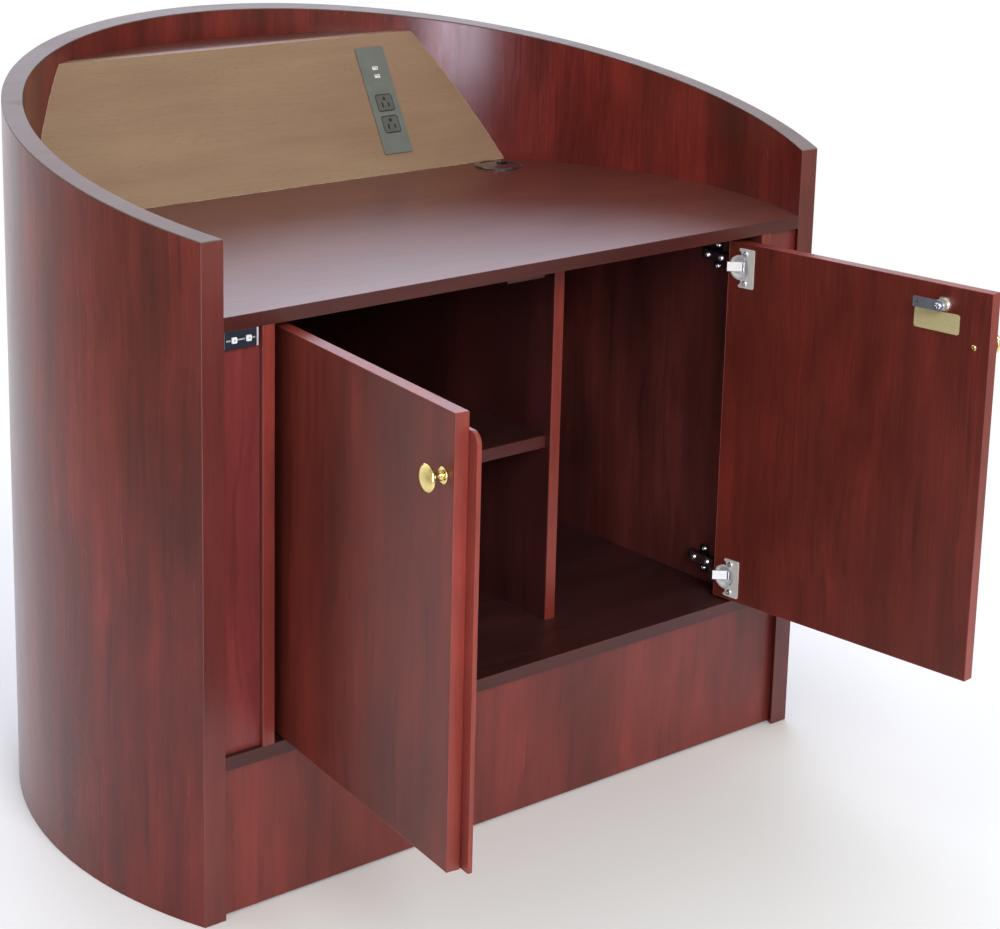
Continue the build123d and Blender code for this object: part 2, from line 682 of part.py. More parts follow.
def lock_cam():
    """Flat cam, drawn unlocked and pointing to the hinges."""
    front = LOCK_BACK + 0.2
    half = CAM_WIDTH / 2
    tip = LOCK_X + CAM_LENGTH
    bar = block(LOCK_X, tip, front, front + CAM_THICKNESS, LOCK_Z - half, LOCK_Z + half)
    bar = fillet(bar.edges().filter_by(Axis.Y).group_by(Axis.X)[-1], 2.0)
    bar += rod_y(half, LOCK_X, front, front + CAM_THICKNESS, LOCK_Z)
    bar -= rod_y(1.6, tip - 6, front - 1, front + 5, LOCK_Z)
    return bar - rod_y(2.05, LOCK_X, front - 1, front + 5, LOCK_Z)


def lock_cam_screw():
    face = LOCK_BACK + 0.2 + CAM_THICKNESS
    head = rod_y(4.6, LOCK_X, face, face + 2.4, LOCK_Z)
    head = chamfer(head.edges().group_by(Axis.Y)[-1], 0.9)
    head -= Pos(LOCK_X, face + 2.4, LOCK_Z) * Box(5.6, 1.8, 1.1)
    head -= Pos(LOCK_X, face + 2.4, LOCK_Z) * Box(1.1, 1.8, 5.6)
    return head + rod_y(2.0, LOCK_X, face - 9, face, LOCK_Z)


def nameplate():
    """Blank rounded plate on the right door's inner face."""
    plane = Plane(origin=(DOOR_EDGE - 355.5, BOARD, 747.9), x_dir=(1, 0, 0), z_dir=(0, 1, 0))
    return extrude(plane * RectangleRounded(71.0, 28.8, 3.5), 1.0)


# ---------------------------------------------------------------- two-button switch
def switch_plate():
    body = block(SWITCH_LEFT, SWITCH_RIGHT, 0, FILLER_RECESS, SWITCH_BOTTOM, DESK_BOTTOM)
    body = chamfer(body.edges().group_by(Axis.Y)[0], 0.6)
    wide, high = BUTTON_SIZE
    floor = BUTTON_DEPTH + BUTTON_TRAVEL + 0.5
    for x in BUTTON_X:
        half_w, half_h = wide / 2 + BUTTON_GAP, high / 2 + BUTTON_GAP
        body -= block(x - half_w, x + half_w, -5, floor, BUTTON_Z - half_h, BUTTON_Z + half_h)
    return body


def switch_end_strip():
    return block(SWITCH_RIGHT, SWITCH_RIGHT + 2.5, 0, FILLER_RECESS, SWITCH_BOTTOM, DESK_BOTTOM)


def button(x):
    wide, high = BUTTON_SIZE
    low, top = BUTTON_Z - high / 2, BUTTON_Z + high / 2
    cap = block(x - wide / 2, x + wide / 2, -BUTTON_PROUD, BUTTON_DEPTH, low, top)
    cap = fillet(cap.edges().filter_by(Axis.Y), 1.5)
    return chamfer(cap.edges().group_by(Axis.Y)[0], 0.5)


# ---------------------------------------------------------------- the assembly
def right(shape):
    """A part of the right door in its place."""
    return group([opened(shape)])


def left(shape):
    """A part of the left door in its place."""
    return group([mirrored(opened(shape))])


cups = group([hinge_cup(z) for z in HINGE_HEIGHTS])

NODES = {
    "curved_shell": curved_shell(),
    "rim_edge_band": rim_edge_band(),
    "shell_end_bands": shell_end_bands(),
    "desktop": desktop(),
    "desktop_edge_band": front_band(DESK_BOTTOM, DESK_TOP),
    "slope_panel": slope_panel(),
    "rear_ledge": rear_ledge(),
    "power_strip_bezel": power_strip_bezel(),
    "power_strip_housing": power_strip_housing(),
    "outlet_faces": group([outlet_face(centre) for centre in OUTLET_CENTRES]),
    "usb_ports": group([usb_port(centre) for centre in PORT_CENTRES]),
    "grommet_ring": grommet_ring(),
    "grommet_cap": grommet_cap(),
    "left_side_panel": left_side_panel(),
    "right_side_panel": side_panel(),
    "side_panel_edge_bands": side_panel_edge_bands(),
    "left_filler_panel": mirrored(right_filler_panel()),
    "right_filler_panel": right_filler_panel(),
    "centre_divider": centre_divider(),
    "divider_edge_band": divider_edge_band(),
    "shelf": shelf_board(SHELF_FRONT + BAND, SHELF_BACK),
    "shelf_edge_band": shelf_board(SHELF_FRONT, SHELF_FRONT + BAND),
    "shelf_pins": shelf_pins(),
    "floor_panel": floor_panel(),
    "floor_edge_band": front_band(FLOOR_BOTTOM, FLOOR_TOP),
    "kick_panel": kick_panel(),
    "door_stop_block": door_stop_block(),
    "hinge_mounting_plates": both_sides(mounting_plate(z) for z in HINGE_HEIGHTS),
    "hinge_plate_screws": hinge_plate_screws(),
    "hinge_arms": both_sides(hinge_arm(z) for z in HINGE_HEIGHTS),
    "hinge_arm_screws": hinge_arm_screws(),
    "switch_plate": switch_plate(),
    "switch_end_strip": switch_end_strip(),
    "left_button": button(BUTTON_X[0]),
    "right_button": button(BUTTON_X[1]),
    "left_door_panel": left(door_core()),
    "left_door_edge_band": left(door_edge_band()),
    "left_hinge_cups": left(cups),
    "left_hinge_cup_screws": left(cup_screws()),
    "left_knob": left(knob()),
    "left_knob_rosette": left(knob_rosette()),
    "left_knob_screw": left(knob_screw()),
    "astragal": left(astragal()),
    "right_door_panel": right(right_door_core()),
    "right_door_edge_band": right(door_edge_band()),
    "right_hinge_cups": right(cups),
    "right_hinge_cup_screws": right(cup_screws()),
    "right_knob": right(knob()),
    "right_knob_rosette": right(knob_rosette()),
    "right_knob_screw": right(knob_screw()),
    "lock_housing": right(lock_housing()),
    "lock_nut": right(lock_nut()),
    "lock_plug": right(lock_plug()),
    "lock_cam": right(lock_cam()),
    "lock_cam_screw": right(lock_cam_screw()),
    "nameplate": right(nameplate()),
}

os.makedirs("parts", exist_ok=True)
for name, shape in NODES.items():
    export_step(group([Pos(0, -BAND, 0) * shape]), f"parts/{name}.step")
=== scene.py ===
import json
import math

import bmesh
import bpy
from mathutils import Matrix, Vector


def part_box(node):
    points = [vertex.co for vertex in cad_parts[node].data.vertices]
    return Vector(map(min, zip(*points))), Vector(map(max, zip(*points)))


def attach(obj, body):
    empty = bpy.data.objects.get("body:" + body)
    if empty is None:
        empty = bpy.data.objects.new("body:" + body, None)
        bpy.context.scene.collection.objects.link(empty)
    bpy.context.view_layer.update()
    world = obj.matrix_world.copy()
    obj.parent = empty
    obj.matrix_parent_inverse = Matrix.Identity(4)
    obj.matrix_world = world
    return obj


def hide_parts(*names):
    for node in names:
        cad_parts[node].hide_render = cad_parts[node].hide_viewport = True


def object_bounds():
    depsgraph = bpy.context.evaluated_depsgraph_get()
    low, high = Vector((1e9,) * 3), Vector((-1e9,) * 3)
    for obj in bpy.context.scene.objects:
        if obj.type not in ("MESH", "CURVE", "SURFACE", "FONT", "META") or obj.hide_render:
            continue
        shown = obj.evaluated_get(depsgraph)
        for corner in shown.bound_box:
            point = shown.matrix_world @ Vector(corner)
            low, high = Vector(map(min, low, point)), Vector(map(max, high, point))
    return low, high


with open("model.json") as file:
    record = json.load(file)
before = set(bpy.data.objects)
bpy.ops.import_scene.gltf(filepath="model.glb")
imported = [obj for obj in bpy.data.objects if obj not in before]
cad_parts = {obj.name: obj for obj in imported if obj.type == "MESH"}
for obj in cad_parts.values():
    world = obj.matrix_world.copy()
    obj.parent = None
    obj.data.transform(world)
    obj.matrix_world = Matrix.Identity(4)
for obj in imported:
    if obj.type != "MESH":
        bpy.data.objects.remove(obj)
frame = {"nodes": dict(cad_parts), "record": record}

CAD_LOW, CAD_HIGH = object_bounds()
NODES = frame["nodes"]
RECORD = frame["record"]

# ---------------------------------------------------------------- camera: the speaker's side, seen from its left
CAMERA_AZIMUTH = 35.490     # degrees the line of sight turns from +Y towards +X
CAMERA_ELEVATION = 13.113   # degrees it looks down
CAMERA_ROLL = -0.173
CAMERA_DEPTH = 3.1555       # distance to AIM, measured along the line of sight
AIM = Vector((0.0, -0.002, 0.4635))
AIM_RIGHT = 0.3350          # where AIM lies right of and below the line of sight
AIM_DOWN = 0.3783
FOCAL = 2.2299              # focal length in picture widths
SHIFT_RIGHT = 0.2050
SHIFT_DOWN = 0.2184
SENSOR = 36.0


def make_camera():
    """Camera at the photograph's viewing angle."""
    azimuth, elevation = math.radians(CAMERA_AZIMUTH), math.radians(CAMERA_ELEVATION)
    ahead = Vector((
        math.sin(azimuth) * math.cos(elevation),
        math.cos(azimuth) * math.cos(elevation),
        -math.sin(elevation),
    ))
    level = ahead.cross(Vector((0, 0, 1))).normalized()
    down = ahead.cross(level)
    roll = math.radians(CAMERA_ROLL)
    right = level * math.cos(roll) + down * math.sin(roll)
    down = down * math.cos(roll) - level * math.sin(roll)
    data = bpy.data.cameras.new("camera")
    data.sensor_width = SENSOR
    data.lens = SENSOR * FOCAL
    data.shift_x = SHIFT_RIGHT
    data.shift_y = -SHIFT_DOWN
    data.clip_end = 50
    camera = bpy.data.objects.new("camera", data)
    bpy.context.scene.collection.objects.link(camera)
    place = AIM - ahead * CAMERA_DEPTH - right * AIM_RIGHT - down * AIM_DOWN
    turn = Matrix((right, -down, -ahead)).transposed().to_4x4()
    camera.matrix_world = Matrix.Translation(place) @ turn
    bpy.context.scene.camera = camera
    bpy.context.scene.view_settings.view_transform = "Standard"


make_camera()


# ---------------------------------------------------------------- node graph helper
class Graph:
    """Adds nodes to one material and links them."""

    def __init__(self, name):
        self.material = bpy.data.materials.new(name)
        self.material.use_nodes = True
        self.tree = self.material.node_tree
        self.shader = self.tree.nodes["Principled BSDF"]

    def feed(self, socket, value):
        if isinstance(value, bpy.types.NodeSocket):
            self.tree.links.new(value, socket)
        else:
            socket.default_value = value

    def add(self, kind, inputs=(), **settings):
        node = self.tree.nodes.new(kind)
        for key, value in settings.items():
            setattr(node, key, value)
        for key, value in dict(inputs).items():
            self.feed(node.inputs[key], value)
        return node

    def place(self, scale=(1, 1, 1), shift=(0, 0, 0), vector=None):
        """Object coordinates, stretched and shifted."""
        if vector is None:
            vector = self.add("ShaderNodeTexCoord").outputs["Object"]
        mapping = self.add("ShaderNodeMapping", {"Vector": vector, "Scale": scale, "Location": shift})
        return mapping.outputs["Vector"]

    def axes(self):
        """The three object coordinates, one by one."""
        split = self.add("ShaderNodeSeparateXYZ", {"Vector": self.place()})
        return split.outputs["X"], split.outputs["Y"], split.outputs["Z"]

    def noise(self, vector, scale, detail=2.0, roughness=0.5):
        inputs = {"Vector": vector, "Scale": scale, "Detail": detail, "Roughness": roughness}
        return self.add("ShaderNodeTexNoise", inputs).outputs["Fac"]

    def remap(self, value, low, high, to_low=0.0, to_high=1.0):
        inputs = {"Value": value, "From Min": low, "From Max": high, "To Min": to_low, "To Max": to_high}
        return self.add("ShaderNodeMapRange", inputs).outputs["Result"]

    def math(self, operation, a, b=0.0):
        return self.add("ShaderNodeMath", {0: a, 1: b}, operation=operation).outputs[0]

    def within(self, value, low, high):
        """1 between two limits, 0 outside."""
        above = self.math("GREATER_THAN", value, low)
        return self.math("MULTIPLY", above, self.math("LESS_THAN", value, high))

    def mix(self, factor, a, b, blend="MIX"):
        node = self.add("ShaderNodeMix", data_type="RGBA", blend_type=blend)
        self.feed(node.inputs[0], factor)
        self.feed(node.inputs[6], a)
        self.feed(node.inputs[7], b)
        return node.outputs[2]

    def blend_sum(self, *parts):
        """Weighted sum of (value, weight) pairs."""
        total = 0.0
        for value, weight in parts:
            total = self.math("ADD", total, self.math("MULTIPLY", value, weight))
        return total

    def ramp(self, value, stops):
        node = self.add("ShaderNodeValToRGB", {"Fac": value})
        elements = node.color_ramp.elements
        while len(elements) < len(stops):
            elements.new(0.5)
        for element, (place, colour) in zip(elements, stops):
            element.position = place
            element.color = (*colour, 1.0)
        return node.outputs["Color"]

    def bump(self, height, strength, distance):
        inputs = {"Height": height, "Strength": strength, "Distance": distance}
        return self.add("ShaderNodeBump", inputs).outputs["Normal"]

    def edge_mask(self, radius):
        """1 on sharp edges, fading to 0 within the radius."""
        soft = self.add("ShaderNodeBevel", {"Radius": radius}, samples=4).outputs["Normal"]
        flat = self.add("ShaderNodeNewGeometry").outputs["Normal"]
        dot = self.add("ShaderNodeVectorMath", {0: soft, 1: flat}, operation="DOT_PRODUCT").outputs["Value"]
        return self.remap(dot, 0.995, 0.80)

    def finish(self, **inputs):
        for name, value in inputs.items():
            self.feed(self.shader.inputs[name.replace("_", " ")], value)
        return self.material


# ---------------------------------------------------------------- wood
ACROSS = {"X": (0.0, 1.0, 1.0), "Y": (1.0, 0.0, 1.0), "Z": (1.0, 1.0, 0.0)}


def drawn_out(along, share):
    """Scale of a pattern drawn out along one axis."""
    return tuple(1.0 if across else share for across in ACROSS[along])


def wood(name, dark, light, along="Z", seed=0.0, gloss=0.30, mottle=0.30, streaks=0.40, rub_and_highlight=0.30,
         rub_and_highlight_colour=(0.34, 0.12, 0.09), ior=1.5):
    """Reddish laminate: soft figure, bands, fibres and pores, satin sheen, and edges lightened partly by rubbed
    wear and partly as a painted highlight along the arrises.
    """
    g = Graph(name)
    base = g.place(shift=(seed, seed * 0.7, seed * 1.3))
    sway = g.add("ShaderNodeVectorMath", {0: (0.05, 0.05, 0.02)}, operation="SCALE")
    g.feed(sway.inputs["Scale"], g.noise(base, 3.0, 2.0))
    moved = g.add("ShaderNodeVectorMath", {0: base, 1: sway.outputs[0]}, operation="ADD").outputs[0]
    figure = g.noise(g.place(drawn_out(along, 0.17), vector=moved), 12.0, 3.0, 0.55)
    band = g.noise(g.place(drawn_out(along, 0.07), vector=moved), 38.0, 4.0, 0.6)
    fibre = g.noise(g.place(drawn_out(along, 0.02), vector=moved), 260.0, 3.0, 0.6)
    pores = g.remap(g.noise(g.place(drawn_out(along, 0.05), vector=moved), 1300.0, 2.0, 0.5), 0.60, 0.75)
    streak = g.remap(g.noise(g.place(drawn_out(along, 0.05), vector=moved), 70.0, 3.0, 0.55), 0.56, 0.72)
    cloud = g.noise(g.place(drawn_out(along, 0.5), vector=moved), 5.5, 3.0, 0.6)
    tone = g.blend_sum((figure, 0.54), (band, 0.26), (fibre, 0.20))
    middle = tuple((a * b) ** 0.5 for a, b in zip(dark, light))
    colour = g.ramp(g.remap(tone, 0.36, 0.64), [(0.0, dark), (0.5, middle), (1.0, light)])
    shade = g.remap(cloud, 0.3, 0.7, 1.0 - mottle, 1.0 + mottle)
    grey = g.add("ShaderNodeCombineColor", {"Red": shade, "Green": shade, "Blue": shade}).outputs[0]
    colour = g.mix(1.0, colour, grey, "MULTIPLY")
    colour = g.mix(g.math("MULTIPLY", streak, streaks), colour, (*[c * 0.45 for c in dark], 1))
    colour = g.mix(g.math("MULTIPLY", pores, 0.35), colour, (0.020, 0.004, 0.004, 1))
    # Lightened edges: a noisy edge mask mixes in a paler colour, partly rubbed wear and partly a painted highlight
    # along the arrises.
    lightened_edges = g.math("MULTIPLY", g.edge_mask(0.0012), g.remap(g.noise(base, 60.0, 3.0), 0.35, 0.7, 0.0, rub_and_highlight))
    colour = g.mix(lightened_edges, colour, (*rub_and_highlight_colour, 1))
    rough = g.remap(g.blend_sum((fibre, 0.5), (cloud, 0.5)), 0.3, 0.7, gloss, gloss + 0.12)
    normal = g.bump(g.blend_sum((fibre, 0.6), (pores, -1.0)), 0.15, 0.0001)
    return g.finish(Base_Color=colour, Roughness=rough, Normal=normal, IOR=ior)


# ---------------------------------------------------------------- metals and plastics
def metal(name, colour, roughness, smudge=0.10, scratches=0.10, metallic=1.0):
    """Plated or polished metal with handling smudges and fine scratches."""
    g = Graph(name)
    base = g.place()
    cloud = g.noise(base, 55.0, 4.0, 0.6)
    scratch = g.noise(g.place((1.0, 1.0, 0.05)), 2500.0, 2.0, 0.6)
    rough = g.math("ADD", g.remap(cloud, 0.35, 0.7, roughness, roughness + smudge),
                   g.math("MULTIPLY", scratch, scratches * 0.5))
    dull = tuple(c * 0.85 for c in colour)
    shade = g.mix(g.remap(cloud, 0.3, 0.75), (*colour, 1), (*dull, 1))
    normal = g.bump(scratch, scratches, 0.00003)
    return g.finish(Base_Color=shade, Metallic=metallic, Roughness=rough, Normal=normal)


def moulded(g, colour, roughness, grain, spread, marks=None, shadowed=0.0):
    """Colour, sheen and bump shared by every plastic; marks is an optional (mask, colour)."""
    base = g.place()
    fine = g.noise(base, 2600.0, 2.0, 0.6)
    cloud = g.noise(base, 40.0, 3.0, 0.6)
    pale = tuple(min(1.0, c * 1.25 + 0.01) for c in colour)
    shade = g.mix(g.remap(cloud, 0.3, 0.7, 0.0, 0.5), (*colour, 1), (*pale, 1))
    lightened_edges = g.math("MULTIPLY", g.edge_mask(0.0006), 0.35)
    shade = g.mix(lightened_edges, shade, (*[min(1.0, c * 1.5 + 0.05) for c in colour], 1))
    if marks:
        shade = g.mix(marks[0], shade, (*marks[1], 1))
    # Painted shade: edges within the given radius are darkened nearly to black, standing for the shadow in gaps
    # and slots.
    if shadowed:
        shade = g.mix(g.math("MULTIPLY", g.edge_mask(shadowed), 0.95), shade, (0.004, 0.004, 0.004, 1))
    rough = g.remap(cloud, 0.3, 0.7, roughness, roughness + spread)
    return g.finish(Base_Color=shade, Roughness=rough, Normal=g.bump(fine, grain, 0.00004))


def plastic(name, colour, roughness, grain=0.12, spread=0.12, gloss=0.0):
    """Moulded plastic or enamel: fine grain, uneven sheen, edges lightened by wear."""
    g = Graph(name)
    g.finish(Coat_Weight=gloss, Coat_Roughness=0.08)
    return moulded(g, colour, roughness, grain, spread)


def outlet_face():
    """Grey outlet faces, with painted shade along their gaps and slots."""
    return moulded(Graph("outlet_grey"), (0.085, 0.093, 0.090), 0.34, 0.10, 0.12, shadowed=0.0028)


def switch_face():
    """Dark switch plate with plain pale dashes beside its two buttons."""
    g = Graph("switch_navy")
    x, _, z = g.axes()
    left_low, left_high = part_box("left_button")
    right_low, right_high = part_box("right_button")
    middle = (left_low.z + left_high.z) / 2
    inset, half = 0.0016, 0.0009
    beside = [
        (left_low.x - 0.0080, left_low.x - inset),
        (left_high.x + inset, right_low.x - inset),
        (right_high.x + inset, right_high.x + 0.0060),
    ]
    row = g.within(z, middle - half, middle + half)
    dashes = 0.0
    for low, high in beside:
        dashes = g.math("ADD", dashes, g.within(x, low, high))
    dashes = g.math("MULTIPLY", dashes, row)
    return moulded(g, (0.010, 0.016, 0.030), 0.30, 0.10, 0.12, (dashes, (0.42, 0.44, 0.50)))


def button_face():
    """White button cap with a small plain ring printed in its middle."""
    g = Graph("button_white")
    x, _, z = g.axes()
    rings = 0.0
    for node in ("left_button", "right_button"):
        low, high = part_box(node)
        across = g.math("SUBTRACT", x, (low.x + high.x) / 2)
        up = g.math("SUBTRACT", z, (low.z + high.z) / 2)
        reach = g.math("SQRT", g.math("ADD", g.math("MULTIPLY", across, across), g.math("MULTIPLY", up, up)))
        rings = g.math("ADD", rings, g.within(reach, 0.0007, 0.0015))
    return moulded(g, (0.82, 0.88, 0.92), 0.28, 0.06, 0.10, (rings, (0.20, 0.24, 0.30)))


# ---------------------------------------------------------------- materials: wood tones are (dark, light)
# The CHERRY tones are one laminate. Each board's copy is made lighter or darker to stand for the light or shade
# that board gets: painted light and shade, not a difference in the laminate. The inside and floor copies are
# painted shade; the side, filler, kick and stile copies are painted light.
CHERRY = ((0.080, 0.0115, 0.0090), (0.215, 0.0250, 0.0190))
CHERRY_DOOR = ((0.085, 0.0130, 0.0082), (0.188, 0.0243, 0.0150))
CHERRY_LIT_KICK = ((0.098, 0.0135, 0.0105), (0.205, 0.0265, 0.0195))
CHERRY_LIT_FILLER = ((0.140, 0.0200, 0.0185), (0.240, 0.0350, 0.0320))
CHERRY_SHADED_INSIDE = ((0.050, 0.0110, 0.0105), (0.098, 0.0215, 0.0200))
CHERRY_LIT_SIDE = ((0.075, 0.0170, 0.0150), (0.210, 0.0420, 0.0360))
CHERRY_SHADED_FLOOR = ((0.030, 0.0095, 0.0092), (0.055, 0.0150, 0.0140))
CHERRY_DESK = ((0.105, 0.0260, 0.0190), (0.140, 0.0340, 0.0245))
CHERRY_EDGE = ((0.050, 0.0060, 0.0050), (0.078, 0.0100, 0.0080))
CHERRY_BAND = ((0.115, 0.0190, 0.0165), (0.175, 0.0310, 0.0260))
CHERRY_LIT_STILE = ((0.165, 0.0230, 0.0165), (0.300, 0.0440, 0.0300))
RIM = ((0.120, 0.0760, 0.0680), (0.160, 0.1060, 0.0940))
# Near-white edge colour for the slope: a painted highlight line along its arrises.
SLOPE_ARRIS_HIGHLIGHT = (0.80, 0.74, 0.70)
SLOPE = ((0.265, 0.1600, 0.1030), (0.320, 0.2150, 0.1380))


def make_materials():
    return {
        "shell_laminate": wood("shell_laminate", *CHERRY, "Z", 0.0, 0.18, ior=1.42),
        "rim_band": wood("rim_band", *RIM, "X", 3.0, 0.42, 0.06, 0.15),
        "end_band": wood("end_band", *CHERRY_BAND, "Z", 4.0, 0.34, 0.18),
        "desk_laminate": wood("desk_laminate", *CHERRY_DESK, "X", 5.0, 0.27, 0.10, 0.15),
        "ledge_laminate": wood("ledge_laminate", *CHERRY_DESK, "X", 6.0, 0.30, 0.08, 0.15),
        # slope edges take the near-white colour almost fully: a painted highlight along the arrises
        "slope_laminate": wood("slope_laminate", *SLOPE, "X", 8.0, 0.34, 0.07, 0.06, 0.90, SLOPE_ARRIS_HIGHLIGHT),
        # lit and shaded copies of one cherry laminate: painted light and shade per board
        "cabinet_laminate": wood("cabinet_laminate", *CHERRY_SHADED_INSIDE, "Z", 11.0, 0.36),
        "side_laminate": wood("side_laminate", *CHERRY_LIT_SIDE, "Z", 16.0, 0.36),
        "shelf_laminate": wood("shelf_laminate", *CHERRY_SHADED_FLOOR, "X", 12.0, 0.34),
        "front_laminate": wood("front_laminate", *CHERRY_LIT_KICK, "Z", 13.0, 0.36),
        "filler_laminate": wood("filler_laminate", *CHERRY_LIT_FILLER, "Z", 14.0, 0.36, 0.16),
        "door_laminate": wood("door_laminate", *CHERRY_DOOR, "Z", 15.0, 0.34, ior=1.42),
        "edge_band": wood("edge_band", *CHERRY_EDGE, "X", 18.0, 0.34, 0.14),
        "edge_band_upright": wood("edge_band_upright", *CHERRY_LIT_STILE, "Z", 19.0, 0.34, 0.20),
        "brass": metal("brass", (0.86, 0.70, 0.30), 0.10, 0.10),
        "brass_plate": metal("brass_plate", (0.62, 0.56, 0.30), 0.38, 0.10, 0.2, 0.35),
        "hinge_nickel": metal("hinge_nickel", (0.93, 0.94, 0.96), 0.16, 0.08, 0.10),
        # Hinge cups: nickel made mostly diffuse white, a painted glare standing for the bright reflection on their
        # flanges.
        "hinge_flange": metal("hinge_flange", (0.95, 0.96, 0.98), 0.20, 0.05, 0.06, 0.30),
        "screw_steel": metal("screw_steel", (0.88, 0.88, 0.90), 0.18, 0.10),
        "hinge_black": plastic("hinge_black", (0.012, 0.012, 0.014), 0.22, 0.05),
        "lock_chrome": metal("lock_chrome", (0.90, 0.89, 0.86), 0.12, 0.10, 0.10, 0.8),
        "cam_zinc": metal("cam_zinc", (0.36, 0.42, 0.54), 0.26, 0.14, 0.10, 0.8),
        "strip_grey": plastic("strip_grey", (0.130, 0.146, 0.138), 0.32, 0.10),
        "outlet_grey": outlet_face(),
        "housing_black": plastic("housing_black", (0.010, 0.010, 0.011), 0.45, 0.10),
        "port_white": plastic("port_white", (0.88, 0.89, 0.88), 0.22, 0.05),
        "grommet_black": plastic("grommet_black", (0.010, 0.010, 0.013), 0.14, 0.08, gloss=1.0),
        "switch_navy": switch_face(),
        "switch_pale": plastic("switch_pale", (0.50, 0.54, 0.60), 0.30, 0.06),
        "button_white": button_face(),
    }


MATERIALS = make_materials()
VARIANTS = {
    "shell_end_bands": "end_band",
    "rear_ledge": "ledge_laminate",
    "left_side_panel": "side_laminate",
    "right_side_panel": "side_laminate",
    "shelf": "shelf_laminate",
    "floor_panel": "shelf_laminate",
    "kick_panel": "front_laminate",
    "left_filler_panel": "filler_laminate",
    "right_filler_panel": "filler_laminate",
    "side_panel_edge_bands": "edge_band_upright",
    "divider_edge_band": "edge_band_upright",
    "left_door_edge_band": "edge_band_upright",
    "right_door_edge_band": "edge_band_upright",
    "astragal": "edge_band_upright",
    "left_hinge_cups": "hinge_flange",
    "right_hinge_cups": "hinge_flange",
    "nameplate": "brass_plate",
    "power_strip_housing": "housing_black",
}


def paint_nodes():
    """Give every CAD node the material of its slot, or that board's variant of it."""
    for part in RECORD["subparts"]:
        node = part["node"]
        mesh = NODES[node].data
        mesh.materials.clear()
        mesh.materials.append(MATERIALS[VARIANTS.get(node, part["material_slot"])])


paint_nodes()

# ---------------------------------------------------------------- rounded arrises
ARRISES = {                 # bevel width in metres: the nodes it rounds
    0.0007: ("rim_edge_band", "shell_end_bands", "desktop_edge_band", "floor_edge_band", "side_panel_edge_bands",
             "divider_edge_band", "shelf_edge_band", "left_door_edge_band", "right_door_edge_band", "astragal",
             "door_stop_block", "kick_panel", "slope_panel", "rear_ledge"),
    0.0003: ("switch_end_strip", "nameplate", "left_button", "right_button", "outlet_faces", "power_strip_bezel"),
}


def round_arrises():
    """Take the sharpness off the edges that a hand or the light would find."""
    for width, nodes in ARRISES.items():
        for node in nodes:
            weld = NODES[node].modifiers.new("weld", "WELD")
            weld.merge_threshold = 0.00002
            bevel = NODES[node].modifiers.new("arris", "BEVEL")
            bevel.width = width
            bevel.segments = 2
            bevel.limit_method = "ANGLE"
            bevel.angle_limit = math.radians(40)
            bevel.harden_normals = True


round_arrises()

# ---------------------------------------------------------------- turned knobs
KNOB_STEPS = 64             # facets round each turned piece
KNOB_PROFILE = (            # (distance from the door, radius) in millimetres, neck to crown
    (3.0, 6.5), (4.2, 6.3), (5.4, 5.7), (6.8, 5.3), (9.0, 5.0), (11.5, 5.1), (13.8, 5.7), (15.6, 7.2),
    (16.9, 9.6), (17.9, 12.4), (18.9, 14.9), (19.9, 16.5), (21.0, 17.3), (22.0, 17.45), (23.1, 17.2),
    (24.3, 16.2), (25.4, 14.4), (26.4, 11.8), (27.2, 8.4), (27.7, 4.6), (27.9, 0.0),
)
ROSETTE_PROFILE = (
    (0.0, 10.7), (0.9, 10.7), (1.5, 10.5), (2.0, 9.9), (2.2, 9.1), (2.5, 8.7), (2.8, 8.0), (2.95, 7.0), (3.0, 0.0),
)


def turned(name, profile, foot, outward):
    """A smooth turned piece standing on a door's face."""
    mesh = bpy.data.meshes.new(name)
    bm = bmesh.new()
    rings = []
    for reach, radius in profile:
        if radius == 0.0:
            rings.append([bm.verts.new((0, 0, reach / 1000))])
            continue
        turns = [2 * math.pi * k / KNOB_STEPS for k in range(KNOB_STEPS)]
        rings.append([bm.verts.new((radius / 1000 * math.cos(t), radius / 1000 * math.sin(t), reach / 1000))
                      for t in turns])
    for low, high in zip(rings, rings[1:]):
        for k in range(KNOB_STEPS):
            after = (k + 1) % KNOB_STEPS
            if len(high) == 1:
                bm.faces.new((low[k], low[after], high[0]))
            else:
                bm.faces.new((low[k], low[after], high[after], high[k]))
    bm.faces.new(list(reversed(rings[0])))
    for face in bm.faces:
        face.smooth = len(face.verts) < 5
    turn = outward.to_track_quat("Z", "Y").to_matrix().to_4x4()
    bm.transform(Matrix.Translation(foot) @ turn)
    bm.to_mesh(mesh)
    bm.free()
    piece = bpy.data.objects.new(name, mesh)
    bpy.context.scene.collection.objects.link(piece)
    mesh.materials.append(MATERIALS["brass"])
    return piece


def make_knobs():
    """Both doors' knobs and rosettes, each square to its open door."""
    lock = next(joint for joint in RECORD["behaviour"]["joints"] if joint["name"] == "cam_lock_turn")
    right_outward = Vector(lock["axis"]).normalized()
    left_outward = Vector((-right_outward.x, right_outward.y, 0))
    for side, outward in (("left", left_outward), ("right", right_outward)):
        low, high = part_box(side + "_knob_rosette")
        foot = (low + high) / 2 - outward * 0.0015
        for part, profile in (("_knob", KNOB_PROFILE), ("_knob_rosette", ROSETTE_PROFILE)):
            piece = turned(side + part + "_turned", profile, foot, outward)
            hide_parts(side + part)
            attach(piece, side + "_door")


make_knobs()


# ---------------------------------------------------------------- studio
STAGE_REACH = 3.4           # radius of the floor
STAGE_SOLID = 1.2           # radius at which the floor starts to fade
STAGE_STEPS = 96
STAGE_GAP = 0.0005          # the floor lies this far below the object's foot


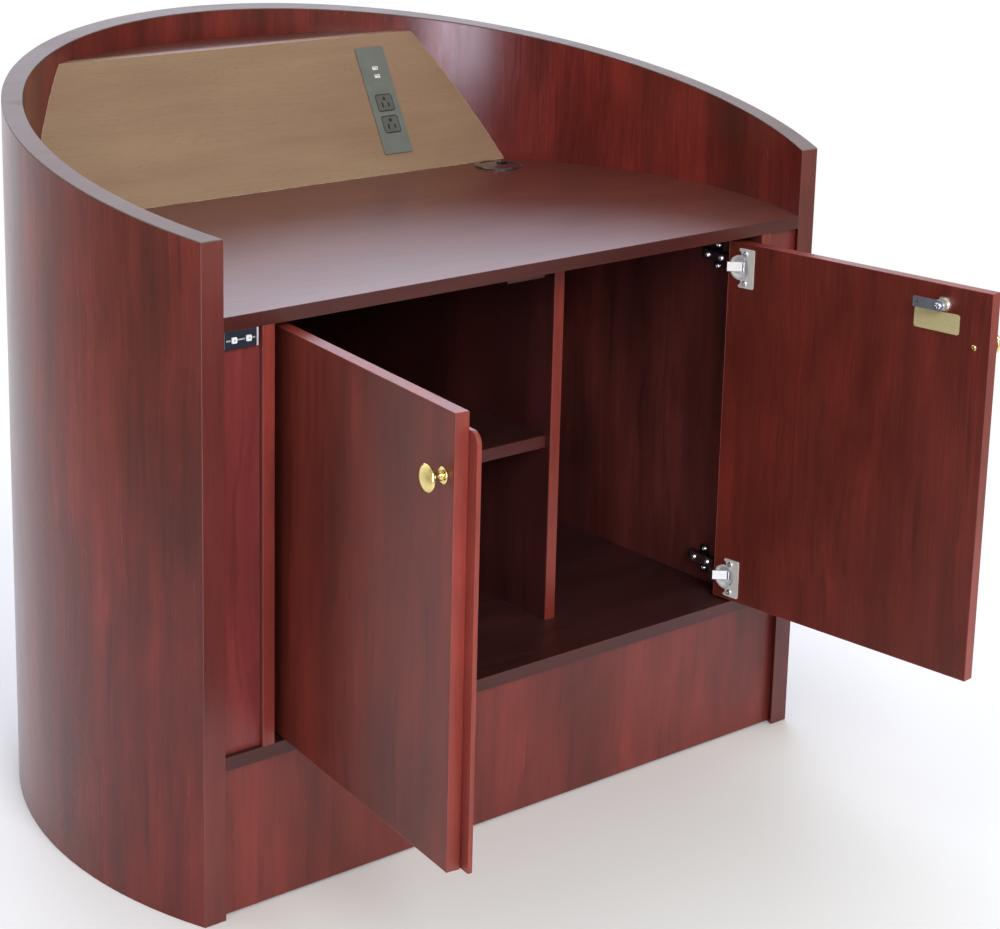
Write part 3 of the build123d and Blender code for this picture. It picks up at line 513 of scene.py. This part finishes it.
def make_stage():
    """Plain pale round floor that fades into the white surroundings."""
    mesh = bpy.data.meshes.new("floor")
    turns = [2 * math.pi * k / STAGE_STEPS for k in range(STAGE_STEPS)]
    rim = [(STAGE_REACH * math.cos(t), STAGE_REACH * math.sin(t), 0) for t in turns]
    mesh.from_pydata(rim, [], [tuple(range(STAGE_STEPS))])
    floor = bpy.data.objects.new("floor", mesh)
    bpy.context.scene.collection.objects.link(floor)
    floor.location = (0, 0.25, CAD_LOW.z - STAGE_GAP)
    g = Graph("studio_floor")
    cloud = g.noise(g.place(), 1.5, 3.0)
    tone = g.mix(cloud, (0.92, 0.945, 0.985, 1), (0.93, 0.955, 0.995, 1))
    x, y, _ = g.axes()
    away = g.math("SQRT", g.math("ADD", g.math("MULTIPLY", x, x), g.math("MULTIPLY", y, y)))
    fade = {"Value": away, "From Min": STAGE_SOLID, "From Max": STAGE_REACH - 0.1, "To Min": 1.0, "To Max": 0.0}
    shown = g.add("ShaderNodeMapRange", fade, interpolation_type="SMOOTHSTEP").outputs["Result"]
    rough = g.remap(cloud, 0.3, 0.7, 0.6, 0.7)
    mesh.materials.append(g.finish(Base_Color=tone, Roughness=rough, Alpha=shown))


def area_light(name, place, target, size, glow, colour=(1, 1, 1)):
    """A soft rectangular light; glow is how bright its face is."""
    data = bpy.data.lights.new(name, "AREA")
    data.shape = "RECTANGLE"
    data.size, data.size_y = size
    data.energy = glow * math.pi * size[0] * size[1]
    data.color = colour
    light = bpy.data.objects.new(name, data)
    bpy.context.scene.collection.objects.link(light)
    light.location = place
    light.rotation_euler = (Vector(target) - Vector(place)).to_track_quat("-Z", "Y").to_euler()
    light.visible_camera = False
    return light


def make_world():
    """Surroundings: white to the lens, cool and bright behind the object, warm and dimmer elsewhere."""
    world = bpy.data.worlds.new("studio")
    bpy.context.scene.world = world
    world.use_nodes = True
    tree = world.node_tree
    toward = tree.nodes.new("ShaderNodeVectorMath")
    toward.operation = "DOT_PRODUCT"
    toward.inputs[1].default_value = (0.15, 0.85, 0.50)
    tree.links.new(tree.nodes.new("ShaderNodeTexCoord").outputs["Generated"], toward.inputs[0])
    sky = tree.nodes.new("ShaderNodeValToRGB")
    dim, bright = sky.color_ramp.elements
    dim.position, dim.color = 0.30, (0.58, 0.54, 0.45, 1)
    bright.position, bright.color = 0.90, (1.28, 1.32, 1.44, 1)
    tree.links.new(toward.outputs["Value"], sky.inputs["Fac"])
    seen = tree.nodes.new("ShaderNodeLightPath").outputs["Is Camera Ray"]
    choice = tree.nodes.new("ShaderNodeMix")
    choice.data_type = "RGBA"
    tree.links.new(seen, choice.inputs[0])
    tree.links.new(sky.outputs["Color"], choice.inputs[6])
    choice.inputs[7].default_value = (1, 1, 1, 1)
    tree.links.new(choice.outputs[2], tree.nodes["Background"].inputs["Color"])


def make_lights():
    middle = (0.0, 0.3, 0.7)
    area_light("key", (-1.3, -4.2, 3.2), middle, (2.4, 1.8), 12.0)
    area_light("window", (-4.2, 1.2, 1.9), middle, (3.0, 3.0), 0.15, (1.0, 0.93, 0.78))
    area_light("backdrop", (2.4, 4.5, 2.4), (0.0, 0.3, 0.9), (4.6, 2.6), 2.7, (0.74, 0.80, 1.0))
    sheen = area_light("low_window", (-3.2, -2.6, 0.75), (0.4, 0.67, 1.0), (1.4, 1.1), 24.0, (0.88, 0.82, 1.0))
    sheen.visible_diffuse = False


make_stage()
make_world()
make_lights()
